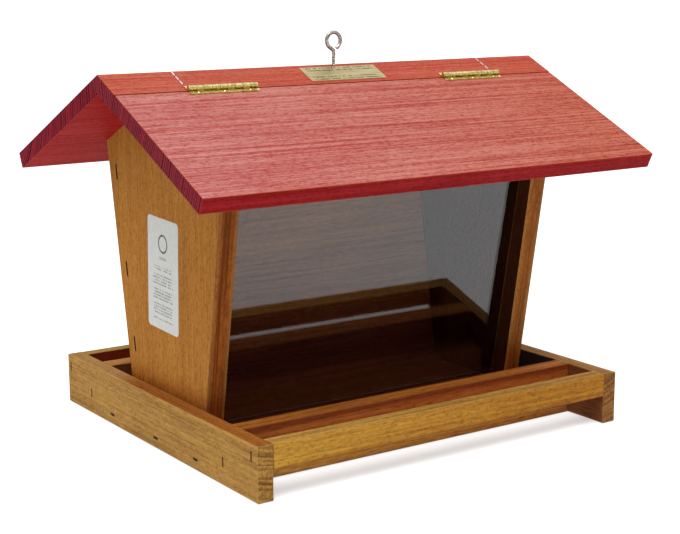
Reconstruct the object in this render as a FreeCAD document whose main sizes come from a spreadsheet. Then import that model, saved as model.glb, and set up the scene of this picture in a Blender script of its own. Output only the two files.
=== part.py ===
import FreeCAD, Part
import math
import os
import Sketcher
from FreeCAD import Placement, Rotation, Vector

# A hanging wooden hopper feeder for birds.  Millimetres, +Z up, +X along the ridge of the roof and
# +Y to the back.  The origin is the centre of the underside, so the feeder stands on Z = 0.
#
# A tray of stapled boards carries two gabled end walls, a back board and a clear front pane that
# stands in grooves.  The roof is a fixed rear panel, a fixed ridge strip and a lid on two hinges.

doc = FreeCAD.newDocument("hopper_feeder")
sheet = doc.addObject("Spreadsheet::Sheet", "dims")

DIMENSIONS = {
    # tray
    "board_thick": 12.7,
    "tray_length": 337.2,
    "tray_depth": 308.6,
    "side_height": 41.0,
    "perch_height": 18.2,
    "perch_gap": 27.8,
    "inner_thick": 15.9,
    "floor_thick": 15.9,
    # end walls, back board and pane
    "wall_thick": 15.9,
    "wall_gap": 2.5,
    "wall_front": 52.0,
    "wall_rear": 60.0,
    "wall_lean": 9.76,
    "back_inset": 6.0,
    "pane_inset": 15.1,
    "pane_lean": 10.6,
    "pane_thick": 2.4,
    "pane_bottom": 22.3,
    "pane_height": 215.0,
    "groove_depth": 4.8,
    "groove_play": 0.25,
    # roof
    "ridge_height": 285.75,
    "roof_pitch": 25.2,
    "roof_length": 410.6,
    "roof_slope": 167.1,
    "joint_slope": 29.9,
    "joint_gap": 0.8,
    "lid_gap": 0.3,
    # strip hinges
    "hinge_length": 58.7,
    "hinge_offset": 117.6,
    "leaf_reach": 5.9,
    "leaf_thick": 1.0,
    "barrel_radius": 2.0,
    "barrel_lift": 0.3,
    "knuckle_count": 9,
    "knuckle_gap": 0.25,
    "hinge_pin_radius": 0.9,
    "running_play": 0.05,
    "tight_play": 0.02,
    # small round-headed pins in the hinge leaves
    "nail_radius": 0.55,
    "nail_head_radius": 1.15,
    "nail_head_height": 0.6,
    "nail_length": 10.0,
    "nail_pitch": 22.0,
    "nail_reach": 4.2,
    # screw eye
    "eye_outer_radius": 8.0,
    "eye_wire_radius": 1.55,
    "eye_top": 26.6,
    "thread_length": 18.5,
    "thread_pitch": 1.6,
    "thread_depth": 0.45,
    # thin plate and paper label
    "plate_length": 71.0,
    "plate_width": 21.4,
    "plate_start": 4.2,
    "plate_thick": 0.4,
    "label_width": 48.6,
    "label_height": 87.3,
    "label_middle": 131.8,
    "label_back": 6.0,
    "label_turn": 2.2,
    "label_thick": 0.2,
    "label_corner": 3.5,
}
for row, (alias, value) in enumerate(DIMENSIONS.items(), start=1):
    sheet.set(f"A{row}", alias)
    sheet.set(f"B{row}", str(value))
    sheet.setAlias(f"B{row}", alias)
doc.recompute()


def size(alias):
    """The value of one cell, as a plain number."""
    return float(sheet.get(alias))


nodes = []


def keep(part, label):
    """Name a finished sub-part, and list it for the checks and the export."""
    part.Label = label
    nodes.append(part)
    return part


# ---------------------------------------------------------------------------------------------
# Frames: where the sloping surfaces are, and how a piece is laid on them
# ---------------------------------------------------------------------------------------------
X_AXIS = Vector(1, 0, 0)
PITCH = size("roof_pitch")
LEAN = size("wall_lean")
apex = Vector(0, 0, size("ridge_height"))
front_slope = Placement(apex, Rotation(X_AXIS, PITCH))
rear_slope = Placement(apex, Rotation(X_AXIS, -PITCH))
hinge_line = front_slope.multVec(Vector(0, -size("joint_slope"), 0))
hinge_frame = Placement(hinge_line, Rotation(X_AXIS, PITCH))


def wall_reach(foot, height):
    """How far a leaning edge of an end wall is from the middle at a height.  foot is how far it
    is there on the floor."""
    rise = height - size("floor_thick")
    return size(foot) + math.tan(math.radians(LEAN)) * rise


wall_outer = size("tray_length") / 2 - size("board_thick") - size("wall_gap")
wall_inner = wall_outer - size("wall_thick")


# ---------------------------------------------------------------------------------------------
# Builders
# ---------------------------------------------------------------------------------------------
def block(name, length, width, height, place):
    """A board as a box whose three sizes follow the sheet."""
    box = doc.addObject("Part::Box", name)
    box.setExpression("Length", length)
    box.setExpression("Width", width)
    box.setExpression("Height", height)
    box.Placement = place
    return box


def at(x, y, z):
    return Placement(Vector(x, y, z), Rotation())


def profile_body(name, corners, rules, length, place):
    """A board with a shaped cross-section: an outline in the YZ plane, padded both ways along X.

    corners are the outline's first (y, z) places.  rules are (kind, index, expression): y and z
    place a corner, and angle turns the edge that leaves that corner.
    """
    body = doc.addObject("PartDesign::Body", name)
    side_plane = next(f for f in body.Origin.OriginFeatures if f.Role == "YZ_Plane")
    sketch = body.newObject("Sketcher::SketchObject", name + "_outline")
    sketch.AttachmentSupport = [(side_plane, "")]
    sketch.MapMode = "FlatFace"
    count = len(corners)
    for index in range(count):
        start = Vector(*corners[index], 0)
        end = Vector(*corners[(index + 1) % count], 0)
        sketch.addGeometry(Part.LineSegment(start, end))
    for index in range(count):
        sketch.addConstraint(Sketcher.Constraint("Coincident", index, 2, (index + 1) % count, 1))
    for kind, index, expression in rules:
        y, z = corners[index]
        next_y, next_z = corners[(index + 1) % count]
        if kind == "y":
            rule = Sketcher.Constraint("DistanceX", -1, 1, index, 1, y)
        elif kind == "z":
            rule = Sketcher.Constraint("DistanceY", -1, 1, index, 1, z)
        else:
            rule = Sketcher.Constraint("Angle", index, math.atan2(next_z - z, next_y - y))
        number = sketch.addConstraint(rule)
        sketch.setExpression(f"Constraints[{number}]", expression)
    pad = body.newObject("PartDesign::Pad", name + "_pad")
    pad.Profile = sketch
    pad.SideType = "Symmetric"
    pad.setExpression("Length", length)
    body.Placement = place
    return body


def cut(name, base, tools):
    """The base with every tool taken out of it."""
    tool = tools[0]
    if len(tools) > 1:
        tool = doc.addObject("Part::MultiFuse", name + "_tools")
        tool.Shapes = tools
    result = doc.addObject("Part::Cut", name)
    result.Base = base
    result.Tool = tool
    return result


def group(name, solids):
    """Separate solids of one kind, held as one object."""
    feature = doc.addObject("Part::Feature", name)
    feature.Shape = Part.makeCompound(solids)
    return feature


# ---------------------------------------------------------------------------------------------
# Fasteners: staples with their slots, and nails with their holes
# ---------------------------------------------------------------------------------------------
# crown width, wire size, leg length and how far the crown is sunk under the surface
NARROW_STAPLE = (6.6, 1.2, 25.0, 0.5)
WIDE_STAPLE = (11.5, 1.4, 25.0, 0.5)
RIDGE_STAPLE = (5.0, 1.2, 25.0, 0.1)
SLOT_PLAY = 0.1


def brick(x_size, y_size, top, bottom, middle_x=0.0):
    """A box centred on a place along X and on Y = 0, between two heights."""
    corner = Vector(middle_x - x_size / 2, -y_size / 2, bottom)
    return Part.makeBox(x_size, y_size, top - bottom, corner)


def staple(kind):
    """A staple driven down -Z from a surface at Z = 0, with its crown along X."""
    crown, wire, leg, sink = kind
    whole = brick(crown, wire, -sink, -sink - leg)
    inside = brick(crown - 2 * wire, 2 * wire, -sink - wire, -sink - leg - wire)
    return whole.cut(inside)


def staple_slot(kind):
    """The cut that a staple leaves: an open slot over the crown and a hole for each leg."""
    crown, wire, leg, sink = kind
    width = wire + 2 * SLOT_PLAY
    slot = brick(crown + 2 * SLOT_PLAY, width, 1.0, -sink - wire - SLOT_PLAY)
    for side in (-1, 1):
        middle = side * (crown - wire) / 2
        slot = slot.fuse(brick(width, width, 0.0, -sink - leg - SLOT_PLAY, middle))
    return slot.removeSplitter()


def driven(point, crown_way, outward):
    """The placement of a fastener driven into a surface, with its crown along crown_way."""
    side_way = outward.cross(crown_way)
    return Placement(point, Rotation(crown_way, side_way, outward, "ZXY"))


def placed(shape, place):
    moved = shape.copy()
    moved.Placement = place
    return moved


def staples_and_slots(name, kind, places):
    """A node of staples, and the tool that cuts their slots."""
    staples = group(name, [placed(staple(kind), place) for place in places])
    slots = group(name + "_slots", [placed(staple_slot(kind), place) for place in places])
    keep(staples, name)
    return slots


def nail():
    """A small nail driven down -Z, its round head resting on Z = 0."""
    radius = size("nail_radius")
    head_radius = size("nail_head_radius")
    head_height = size("nail_head_height")
    shank = Part.makeCylinder(radius, size("nail_length") - radius, Vector(), Vector(0, 0, -1))
    tip = Part.makeCone(radius, radius / 4, radius, Vector(0, 0, radius - size("nail_length")),
                        Vector(0, 0, -1))
    dome_radius = (head_radius ** 2 + head_height ** 2) / (2 * head_height)
    dome = Part.makeSphere(dome_radius, Vector(0, 0, head_height - dome_radius))
    head = Part.makeCylinder(head_radius, head_height).common(dome)
    return head.fuse([shank, tip]).removeSplitter()


def nail_hole():
    radius = size("nail_radius") + size("running_play")
    depth = size("nail_length") + 1.0
    top = size("leaf_thick")
    return Part.makeCylinder(radius, depth + top, Vector(0, 0, top), Vector(0, 0, -1))


# Staples through the side boards: into the rail ends with upright crowns, into the floor edge
# with level crowns.  (y, z) is the middle of the crown.
RAIL_STATIONS = [(-145.5, 32.1), (-106.2, 17.2), (109.4, 17.2), (148.6, 31.0)]
FLOOR_STATIONS = [(-66.0, 8.0), (-3.5, 8.0), (71.0, 8.0)]
board_slots = {}
for side, side_name in ((-1, "left"), (1, "right")):
    outward = Vector(side, 0, 0)
    face = side * size("tray_length") / 2
    spots = [driven(Vector(face, y, z), Vector(0, 0, 1), outward) for y, z in RAIL_STATIONS]
    spots += [driven(Vector(face, y, z), Vector(0, 1, 0), outward) for y, z in FLOOR_STATIONS]
    board_slots[side] = staples_and_slots(side_name + "_board_staples", NARROW_STAPLE, spots)

# Staples through the end walls into the back board, in a line parallel to the wall's rear edge.
WALL_HEIGHTS = [67.5, 126.8, 202.9]
lean_way = Rotation(X_AXIS, -LEAN).multVec(Vector(0, 0, 1))
WALL_STAPLE_INSET = 11.6
wall_slots = {}
for side, side_name in ((-1, "left"), (1, "right")):
    spots = [driven(Vector(side * wall_outer, wall_reach("wall_rear", z) - WALL_STAPLE_INSET, z),
                    lean_way, Vector(side, 0, 0)) for z in WALL_HEIGHTS]
    wall_slots[side] = staples_and_slots(side_name + "_wall_staples", WIDE_STAPLE, spots)

# Staples down through the ridge strip and the rear panel into the end walls, crowns along the
# slope, and up through the floor into the foot of each end wall.
wall_middle = (wall_inner + wall_outer) / 2
RIDGE_ROW_X = 145.2
RIDGE_STATIONS = [3.2, 9.8, 16.4]
REAR_STATIONS = [34.0, 64.0, 92.0]
FOOT_STATIONS = [-32.0, 38.0]
UP = Vector(0, 0, 1)
ALONG_Y = Vector(0, 1, 0)


def on_slope(frame, x, y):
    """A fastener driven square into a roof slope, with its crown along the slope."""
    return driven(frame.multVec(Vector(x, y, 0)), frame.Rotation.multVec(ALONG_Y),
                  frame.Rotation.multVec(UP))


ridge_spots = [on_slope(front_slope, side * RIDGE_ROW_X, -slope)
               for side in (-1, 1) for slope in RIDGE_STATIONS]
rear_spots = [on_slope(rear_slope, side * wall_middle, slope)
              for side in (-1, 1) for slope in REAR_STATIONS]
foot_spots = [driven(Vector(side * wall_middle, y, 0), ALONG_Y, Vector(0, 0, -1))
              for side in (-1, 1) for y in FOOT_STATIONS]
ridge_slots = staples_and_slots("ridge_staples", RIDGE_STAPLE, ridge_spots)
rear_slots = staples_and_slots("rear_panel_staples", WIDE_STAPLE, rear_spots)
foot_slots = staples_and_slots("floor_staples", WIDE_STAPLE, foot_spots)

# ---------------------------------------------------------------------------------------------
# Tray: two side boards, two perch rails, two inner rails and a floor, all flush underneath
# except the perch rails, which are level with the tops of the side boards
# ---------------------------------------------------------------------------------------------
half_length = size("tray_length") / 2
half_depth = size("tray_depth") / 2
thick = size("board_thick")
INSIDE_LENGTH = "dims.tray_length - 2 * dims.board_thick"

for side, side_name in ((-1, "left"), (1, "right")):
    x = half_length - thick if side > 0 else -half_length
    blank = block(side_name + "_side_blank", "dims.board_thick", "dims.tray_depth",
                  "dims.side_height", at(x, -half_depth, 0))
    keep(cut(side_name + "_side", blank, [board_slots[side]]), side_name + "_side_board")

rail_x = thick - half_length
inner_outer_y = half_depth - thick - size("perch_gap")
for side, side_name in ((-1, "front"), (1, "rear")):
    perch_y = half_depth - thick if side > 0 else -half_depth
    perch_z = size("side_height") - size("perch_height")
    blank = block(side_name + "_perch_blank", INSIDE_LENGTH, "dims.board_thick",
                  "dims.perch_height", at(rail_x, perch_y, perch_z))
    slots = [board_slots[-1], board_slots[1]]
    keep(cut(side_name + "_perch", blank, slots), side_name + "_perch_rail")
    inner_y = inner_outer_y - size("inner_thick") if side > 0 else -inner_outer_y
    blank = block(side_name + "_inner_blank", INSIDE_LENGTH, "dims.inner_thick",
                  "dims.side_height", at(rail_x, inner_y, 0))
    keep(cut(side_name + "_inner", blank, slots), side_name + "_inner_rail")

floor_half = inner_outer_y - size("inner_thick")
FLOOR_DEPTH = "dims.tray_depth - 2 * (dims.board_thick + dims.perch_gap + dims.inner_thick)"
blank = block("floor_blank", INSIDE_LENGTH, FLOOR_DEPTH, "dims.floor_thick",
              at(rail_x, -floor_half, 0))
floor_tools = [board_slots[-1], board_slots[1], foot_slots]
keep(cut("floor", blank, floor_tools), "floor_board")

# ---------------------------------------------------------------------------------------------
# Hopper: two gabled end walls, a back board between them and a clear pane in their grooves
# ---------------------------------------------------------------------------------------------
PITCH_EXP = "(dims.roof_pitch * 1 deg)"
LEAN_EXP = "(dims.wall_lean * 1 deg)"
UNDERSIDE = f"(dims.ridge_height - dims.board_thick / cos{PITCH_EXP})"
GAP_DROP = f"(dims.lid_gap / cos{PITCH_EXP})"

tan_pitch = math.tan(math.radians(PITCH))
tan_lean = math.tan(math.radians(LEAN))
cos_pitch = math.cos(math.radians(PITCH))
floor_top = size("floor_thick")
underside = size("ridge_height") - thick / cos_pitch
gap_drop = size("lid_gap") / cos_pitch
wall_front = size("wall_front")
wall_rear = size("wall_rear")


def eave_corner(outer_y, drop):
    """Where a leaning line that starts at outer_y on the floor meets the roof's underside."""
    z = (underside - drop - tan_pitch * (outer_y - tan_lean * floor_top)) / (1 + tan_pitch * tan_lean)
    return outer_y + tan_lean * (z - floor_top), z


rear_corner = eave_corner(wall_rear, 0.0)
front_corner = eave_corner(wall_front, gap_drop)
wall_corners = [
    (-wall_front, floor_top),
    (wall_rear, floor_top),
    rear_corner,
    (gap_drop / tan_pitch / 2, underside - gap_drop / 2),
    (-front_corner[0], front_corner[1]),
]
wall_rules = [
    ("y", 0, "-dims.wall_front"),
    ("z", 0, "dims.floor_thick"),
    ("y", 1, "dims.wall_rear"),
    ("z", 1, "dims.floor_thick"),
    ("angle", 1, "(90 - dims.wall_lean) * 1 deg"),
    ("angle", 2, "(180 - dims.roof_pitch) * 1 deg"),
    ("y", 3, f"{GAP_DROP} / tan{PITCH_EXP} / 2"),
    ("z", 3, f"{UNDERSIDE} - {GAP_DROP} / 2"),
    ("angle", 3, "(dims.roof_pitch - 180) * 1 deg"),
    ("angle", 4, "(dims.wall_lean - 90) * 1 deg"),
]

# The pane leans a little more than the front edges of the end walls.  The groove for it is open
# at the top, so the pane can be drawn up and out once the lid is raised.
pane_front = size("pane_inset") - wall_reach("wall_front", size("pane_bottom"))
pane_place = Placement(Vector(0, pane_front, size("pane_bottom")),
                       Rotation(X_AXIS, size("pane_lean")))


def in_pane_frame(x, y, z):
    return Placement(pane_place.multVec(Vector(x, y, z)), pane_place.Rotation)


pane_reach = wall_inner + size("groove_depth") - 2 * size("groove_play")
PANE_LENGTH = ("dims.tray_length - 2 * (dims.board_thick + dims.wall_gap + dims.wall_thick"
               " - dims.groove_depth + 2 * dims.groove_play)")
pane = block("pane", PANE_LENGTH, "dims.pane_thick", "dims.pane_height",
             in_pane_frame(-pane_reach, 0, 0))
keep(pane, "front_pane")

groove_reach = wall_inner + size("groove_depth")
groove = block("pane_groove", PANE_LENGTH + " + 4 * dims.groove_play",
               "dims.pane_thick + 2 * dims.groove_play", "dims.pane_height * 1.5",
               in_pane_frame(-groove_reach, -size("groove_play"), 0))

for side, side_name in ((-1, "left"), (1, "right")):
    wall = profile_body(side_name + "_wall_blank", wall_corners, wall_rules, "dims.wall_thick",
                        at(side * wall_middle, 0, 0))
    tools = [wall_slots[side], ridge_slots, rear_slots, foot_slots, groove]
    keep(cut(side_name + "_wall", wall, tools), side_name + "_end_wall")

back_outer = wall_rear - size("back_inset")
back_inner = back_outer - thick / math.cos(math.radians(LEAN))
BACK_OUTER = "(dims.wall_rear - dims.back_inset)"
BACK_INNER = f"({BACK_OUTER} - dims.board_thick / cos{LEAN_EXP})"
BACK_TOP = (f"({UNDERSIDE} - tan{PITCH_EXP} * ({BACK_OUTER} - tan{LEAN_EXP} * dims.floor_thick))"
            f" / (1 + tan{PITCH_EXP} * tan{LEAN_EXP})")
back_corners = [
    (back_inner, floor_top),
    (back_outer, floor_top),
    eave_corner(back_outer, 0.0),
    eave_corner(back_inner, 0.0),
]
back_rules = [
    ("y", 0, BACK_INNER),
    ("z", 0, "dims.floor_thick"),
    ("y", 1, BACK_OUTER),
    ("z", 1, "dims.floor_thick"),
    ("angle", 1, "(90 - dims.wall_lean) * 1 deg"),
    ("z", 2, BACK_TOP),
    ("angle", 2, "(180 - dims.roof_pitch) * 1 deg"),
    ("angle", 3, "-(90 + dims.wall_lean) * 1 deg"),
]
BACK_LENGTH = "dims.tray_length - 2 * (dims.board_thick + dims.wall_gap + dims.wall_thick)"
back = profile_body("back_blank", back_corners, back_rules, BACK_LENGTH, at(0, 0, 0))
keep(cut("back", back, [wall_slots[-1], wall_slots[1]]), "back_board")

# ---------------------------------------------------------------------------------------------
# Roof: the rear panel's top edge is bevelled to lie under the ridge strip, and the ridge strip's
# rear edge is bevelled flush with the rear panel.  The lid carries on the front slope.
# ---------------------------------------------------------------------------------------------
double_pitch = math.radians(2 * PITCH)
DOUBLE_PITCH = "(2 * dims.roof_pitch * 1 deg)"
roof_slope = size("roof_slope")
rear_corners = [
    (thick * tan_pitch, -thick),
    (roof_slope, -thick),
    (roof_slope, 0.0),
    (thick / math.sin(double_pitch), 0.0),
]
rear_rules = [
    ("y", 0, f"dims.board_thick * tan{PITCH_EXP}"),
    ("z", 0, "-dims.board_thick"),
    ("y", 1, "dims.roof_slope"),
    ("z", 1, "-dims.board_thick"),
    ("y", 2, "dims.roof_slope"),
    ("z", 2, "0"),
    ("y", 3, f"dims.board_thick / sin{DOUBLE_PITCH}"),
    ("z", 3, "0"),
]
rear_panel = profile_body("rear_panel_blank", rear_corners, rear_rules, "dims.roof_length",
                          rear_slope)
keep(cut("rear_panel", rear_panel, [rear_slots, ridge_slots]), "rear_roof_panel")

strip_edge = -(size("joint_slope") - size("joint_gap") / 2)
STRIP_EDGE = "-(dims.joint_slope - dims.joint_gap / 2)"
strip_corners = [
    (strip_edge, -thick),
    (thick / math.tan(double_pitch), -thick),
    (0.0, 0.0),
    (strip_edge, 0.0),
]
strip_rules = [
    ("y", 0, STRIP_EDGE),
    ("z", 0, "-dims.board_thick"),
    ("y", 1, f"dims.board_thick / tan{DOUBLE_PITCH}"),
    ("z", 1, "-dims.board_thick"),
    ("y", 2, "0"),
    ("z", 2, "0"),
    ("y", 3, STRIP_EDGE),
    ("z", 3, "0"),
]
strip = profile_body("strip_blank", strip_corners, strip_rules, "dims.roof_length", front_slope)

# Nails of the hinge leaves: one row each side of the hinge line.
hinge_middles = [side * size("hinge_offset") for side in (-1, 1)]
nail_rows = {}
for row_name, side in (("hinge_strip_nails", 1), ("hinge_lid_nails", -1)):
    places = []
    for middle in hinge_middles:
        for step in (-1, 0, 1):
            x = middle + step * size("nail_pitch")
            spot = Vector(x, side * size("nail_reach"), size("leaf_thick"))
            places.append(Placement(hinge_frame.multVec(spot), hinge_frame.Rotation))
    keep(group(row_name, [placed(nail(), place) for place in places]), row_name)
    nail_rows[side] = group(row_name + "_holes", [placed(nail_hole(), place) for place in places])

# Screw eye: a ring of round wire on a shank that is threaded into the ridge.
eye_wire = size("eye_wire_radius")
eye_ring = size("eye_outer_radius") - eye_wire
eye_middle = size("ridge_height") + size("eye_top") - size("eye_outer_radius")
shank_top = eye_middle - eye_ring
tip_length = 3.0
thread_bottom = size("ridge_height") + 5.2 - size("thread_length")


def thread_profile():
    """Half the lengthwise section of the shank: a point, ring-shaped threads, a plain neck."""
    root = eye_wire - size("thread_depth")
    pitch = size("thread_pitch")
    points = [Vector(0, 0, thread_bottom), Vector(root, 0, thread_bottom + tip_length)]
    z = thread_bottom + tip_length
    while z + pitch < thread_bottom + size("thread_length"):
        points.append(Vector(eye_wire, 0, z + pitch * 0.4))
        points.append(Vector(eye_wire, 0, z + pitch * 0.5))
        points.append(Vector(root, 0, z + pitch * 0.9))
        points.append(Vector(root, 0, z + pitch))
        z += pitch
    points.append(Vector(eye_wire, 0, z + size("thread_depth")))
    points.append(Vector(eye_wire, 0, shank_top))
    points.append(Vector(0, 0, shank_top))
    return Part.Face(Part.makePolygon(points + points[:1]))


shank = doc.addObject("Part::Feature", "eye_shank")
shank.Shape = thread_profile().revolve(Vector(), UP, 360)
ring = doc.addObject("Part::Torus", "eye_ring")
ring.setExpression("Radius1", "dims.eye_outer_radius - dims.eye_wire_radius")
ring.setExpression("Radius2", "dims.eye_wire_radius")
ring.Placement = Placement(Vector(0, 0, eye_middle), Rotation(X_AXIS, 90))
eye = doc.addObject("Part::Fuse", "eye")
eye.Base = ring
eye.Tool = shank
keep(eye, "screw_eye")

eye_hole = doc.addObject("Part::Cylinder", "eye_hole")
eye_hole.setExpression("Radius", "dims.eye_wire_radius + dims.running_play")
eye_hole.Height = 30.0
eye_hole.Placement = at(0, 0, size("ridge_height") - eye_hole.Height.Value / 2)

keep(cut("strip", strip, [ridge_slots, nail_rows[1], eye_hole]), "ridge_strip")

# Lid: one board, hinged to the ridge strip along its upper edge.
LID_WIDTH = "dims.roof_slope - dims.joint_slope - dims.joint_gap / 2"
lid_corner = front_slope.multVec(Vector(-size("roof_length") / 2, -roof_slope, -thick))
lid_blank = block("lid_blank", "dims.roof_length", LID_WIDTH, "dims.board_thick",
                  Placement(lid_corner, front_slope.Rotation))
keep(cut("lid", lid_blank, [nail_rows[-1]]), "roof_lid")

# ---------------------------------------------------------------------------------------------
# Strip hinges: two leaves with alternate knuckles round one pin, lying on the roof
# ---------------------------------------------------------------------------------------------
knuckle_pitch = size("hinge_length") / size("knuckle_count")
barrel_height = size("barrel_radius") + size("barrel_lift")


def barrel_rod(name, radius, length, x, place):
    """A round bar along X on the hinge axis, starting at x."""
    rod = doc.addObject("Part::Cylinder", name)
    rod.setExpression("Radius", radius)
    rod.setExpression("Height", length)
    rod.Placement = place.multiply(Placement(Vector(x, 0, barrel_height), Rotation(ALONG_Y, 90)))
    return rod


def hinge_leaf(name, side, first_knuckle, bore_play, place):
    """One leaf: a plate on the side given, cut clear of the other leaf's knuckles."""
    half = size("hinge_length") / 2
    clear = size("barrel_radius") + size("knuckle_gap")
    reach = size("leaf_reach")
    plate_y = clear if side > 0 else -reach
    pieces = [block(name + "_plate", "dims.hinge_length",
                    "dims.leaf_reach - dims.barrel_radius - dims.knuckle_gap", "dims.leaf_thick",
                    place.multiply(at(-half, plate_y, 0)))]
    edge = size("joint_gap") / 2
    tongue_y = edge if side > 0 else -reach
    knuckle_length = "dims.hinge_length / dims.knuckle_count - dims.knuckle_gap"
    for number in range(first_knuckle, int(size("knuckle_count")), 2):
        x = -half + number * knuckle_pitch + size("knuckle_gap") / 2
        pieces.append(block(f"{name}_tongue_{number}", knuckle_length,
                            "dims.leaf_reach - dims.joint_gap / 2", "dims.leaf_thick",
                            place.multiply(at(x, tongue_y, 0))))
        pieces.append(barrel_rod(f"{name}_knuckle_{number}", "dims.barrel_radius",
                                 knuckle_length, x, place))
    solid = doc.addObject("Part::MultiFuse", name + "_solid")
    solid.Shapes = pieces
    bore = barrel_rod(name + "_bore", f"dims.hinge_pin_radius + {bore_play}",
                      "dims.hinge_length + 2 * dims.leaf_reach", -half - reach, place)
    return cut(name, solid, [bore, nail_rows[side]])


for middle, side_name in zip(hinge_middles, ("left", "right")):
    place = hinge_frame.multiply(at(middle, 0, 0))
    fixed = hinge_leaf(side_name + "_fixed_leaf", 1, 0, "dims.tight_play", place)
    keep(fixed, side_name + "_hinge_strip_leaf")
    moving = hinge_leaf(side_name + "_lid_leaf", -1, 1, "dims.running_play", place)
    keep(moving, side_name + "_hinge_lid_leaf")
    pin = barrel_rod(side_name + "_pin", "dims.hinge_pin_radius", "dims.hinge_length",
                     -size("hinge_length") / 2, place)
    keep(pin, side_name + "_hinge_pin")

# ---------------------------------------------------------------------------------------------
# Blank metal plate on the ridge strip and blank paper label on the left end wall
# ---------------------------------------------------------------------------------------------
plate_corner = Vector(-size("plate_length") / 2, -size("plate_start") - size("plate_width"), 0)
plate = block("plate", "dims.plate_length", "dims.plate_width", "dims.plate_thick",
              Placement(front_slope.multVec(plate_corner), front_slope.Rotation))
keep(plate, "ridge_plate")

label_body = doc.addObject("PartDesign::Body", "label_body")
side_plane = next(f for f in label_body.Origin.OriginFeatures if f.Role == "YZ_Plane")
label_sketch = label_body.newObject("Sketcher::SketchObject", "label_outline")
label_sketch.AttachmentSupport = [(side_plane, "")]
label_sketch.MapMode = "FlatFace"
half_wide = size("label_width") / 2
half_high = size("label_height") / 2
label_corners = [(-half_wide, -half_high), (half_wide, -half_high), (half_wide, half_high),
                 (-half_wide, half_high)]
for index in range(4):
    start = Vector(*label_corners[index], 0)
    end = Vector(*label_corners[(index + 1) % 4], 0)
    label_sketch.addGeometry(Part.LineSegment(start, end))
for index in range(4):
    label_sketch.addConstraint(Sketcher.Constraint("Coincident", index, 2, (index + 1) % 4, 1))
for index in (0, 2):
    label_sketch.addConstraint(Sketcher.Constraint("Horizontal", index))
    label_sketch.addConstraint(Sketcher.Constraint("Vertical", index + 1))
label_sketch.addConstraint(Sketcher.Constraint("Symmetric", 0, 1, 2, 1, -1, 1))
wide_rule = label_sketch.addConstraint(Sketcher.Constraint("DistanceX", 0, 1, 0, 2, 2 * half_wide))
high_rule = label_sketch.addConstraint(Sketcher.Constraint("DistanceY", 1, 1, 1, 2, 2 * half_high))
label_sketch.setExpression(f"Constraints[{wide_rule}]", "dims.label_width")
label_sketch.setExpression(f"Constraints[{high_rule}]", "dims.label_height")
label_pad = label_body.newObject("PartDesign::Pad", "label_pad")
label_pad.Profile = label_sketch
label_pad.setExpression("Length", "dims.label_thick")
doc.recompute()
short_edges = [f"Edge{number}" for number, edge in enumerate(label_pad.Shape.Edges, start=1)
               if edge.Length < 2 * size("label_thick")]
rounding = label_body.newObject("PartDesign::Fillet", "label_rounding")
rounding.Base = (label_pad, short_edges)
rounding.setExpression("Radius", "dims.label_corner")
label_body.Placement = Placement(
    Vector(-wall_outer - size("label_thick"), size("label_back"), size("label_middle")),
    Rotation(X_AXIS, size("label_turn")))
keep(label_body, "wall_label")

# ---------------------------------------------------------------------------------------------
# Check every object, then write each sub-part
# ---------------------------------------------------------------------------------------------
doc.recompute()
for item in doc.Objects:
    if "Invalid" in item.State or "Error" in item.State:
        raise RuntimeError(f"{item.Name} failed: {item.State}")

os.makedirs("parts", exist_ok=True)
for part in nodes:
    shape = part.Shape
    if shape.isNull() or not shape.isValid() or not shape.Solids:
        raise RuntimeError(f"{part.Label} has no valid solid")
    shape.exportStep(f"parts/{part.Label}.step")
    box = shape.BoundBox
    print(f"{part.Label:26s} solids {len(shape.Solids):2d}  volume {shape.Volume / 1000:9.3f} cm3"
          f"  x {box.XMin:8.2f} {box.XMax:8.2f}  y {box.YMin:8.2f} {box.YMax:8.2f}"
          f"  z {box.ZMin:7.2f} {box.ZMax:7.2f}")

hinge_axis = hinge_frame.multVec(Vector(0, 0, barrel_height))
print(f"hinge axis at y {hinge_axis.y:.3f}, z {hinge_axis.z:.3f}")
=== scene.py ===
import math

import bmesh
import bpy
from mathutils import Matrix, Vector


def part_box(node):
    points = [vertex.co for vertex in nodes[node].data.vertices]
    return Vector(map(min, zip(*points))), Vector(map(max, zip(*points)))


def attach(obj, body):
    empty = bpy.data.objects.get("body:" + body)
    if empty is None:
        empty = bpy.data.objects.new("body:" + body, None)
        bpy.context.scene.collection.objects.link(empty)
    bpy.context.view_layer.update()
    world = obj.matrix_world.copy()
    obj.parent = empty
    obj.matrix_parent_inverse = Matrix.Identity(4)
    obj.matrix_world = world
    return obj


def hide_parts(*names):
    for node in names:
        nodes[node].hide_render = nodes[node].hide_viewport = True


# The looks of a hanging hopper bird feeder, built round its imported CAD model.
# Metres, +Z up, +X along the ridge and +Y to the closed back.

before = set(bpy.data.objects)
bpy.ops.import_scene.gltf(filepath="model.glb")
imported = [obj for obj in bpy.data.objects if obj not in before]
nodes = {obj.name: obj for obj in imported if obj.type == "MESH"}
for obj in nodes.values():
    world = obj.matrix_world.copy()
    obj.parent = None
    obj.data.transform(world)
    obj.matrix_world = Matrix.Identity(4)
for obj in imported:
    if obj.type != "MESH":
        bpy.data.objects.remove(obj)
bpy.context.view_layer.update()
scene = bpy.context.scene

# ---------------------------------------------------------------------------------------------
# The angles of the build
# ---------------------------------------------------------------------------------------------
PITCH = math.radians(25.2)
LEAN = math.radians(9.76)
PANE_LEAN = math.radians(10.6)
LABEL_TURN = math.radians(2.2)


# ---------------------------------------------------------------------------------------------
# Camera
# ---------------------------------------------------------------------------------------------
CAMERA_PLACE = Vector((-0.66737, -0.98261, 0.35780))
CAMERA_TURN = -0.600464
CAMERA_DROP = 0.196434
CAMERA_ROLL = -0.003422
CAMERA_LENS = 78.59


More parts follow.
